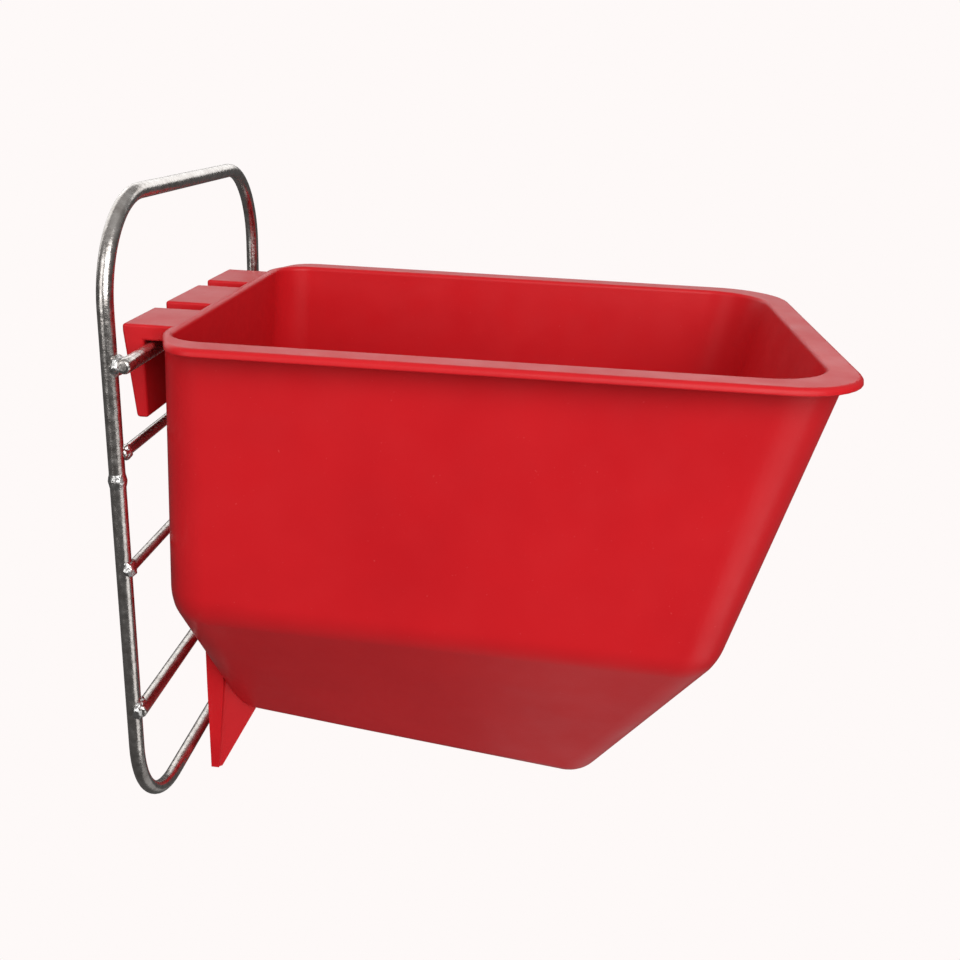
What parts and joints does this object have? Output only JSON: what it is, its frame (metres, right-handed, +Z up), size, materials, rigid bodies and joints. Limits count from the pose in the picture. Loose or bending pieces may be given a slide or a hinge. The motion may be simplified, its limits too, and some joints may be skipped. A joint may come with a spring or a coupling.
{
  "type": "hook-on stable feed bucket",
  "caption": "Sloping-front moulded feed bucket that hooks over a rung of its own welded wire hanger, which hangs on a fence board or stable door.",
  "frame": {"origin": "centre of the hanger's top bar, on the bucket's mid-plane", "axes": "+Z up; +Y back, towards the fence or wall that the hanger hangs on; +X across the bucket, to the right as seen from its open front"},
  "size_m": [0.196, 0.2658, 0.2644],
  "materials": {
    "bucket_plastic": "satin moulded polypropylene with a soft sheen",
    "hanger_wire": "bright plated drawn steel wire",
    "weld_metal": "plated weld bead, lumpy and bright"
  },
  "bodies": {
    "hanger": {"hanger_loop": "hanger_wire", "rung_hook": "hanger_wire", "rung_upper": "hanger_wire", "rung_middle": "hanger_wire", "rung_lower": "hanger_wire", "weld_hook_left": "weld_metal", "weld_hook_right": "weld_metal", "weld_upper_left": "weld_metal", "weld_upper_right": "weld_metal", "weld_middle_left": "weld_metal", "weld_middle_right": "weld_metal", "weld_lower_left": "weld_metal", "weld_lower_right": "weld_metal", "weld_loop_seam": "weld_metal"},
    "bucket": {"bucket": "bucket_plastic"}
  },
  "joints": [
    {"name": "bucket_lift", "type": "slide", "parent": "hanger", "child": "bucket", "axis": [0, 0, 1], "range_m": [0, 0.038]}
  ]
}
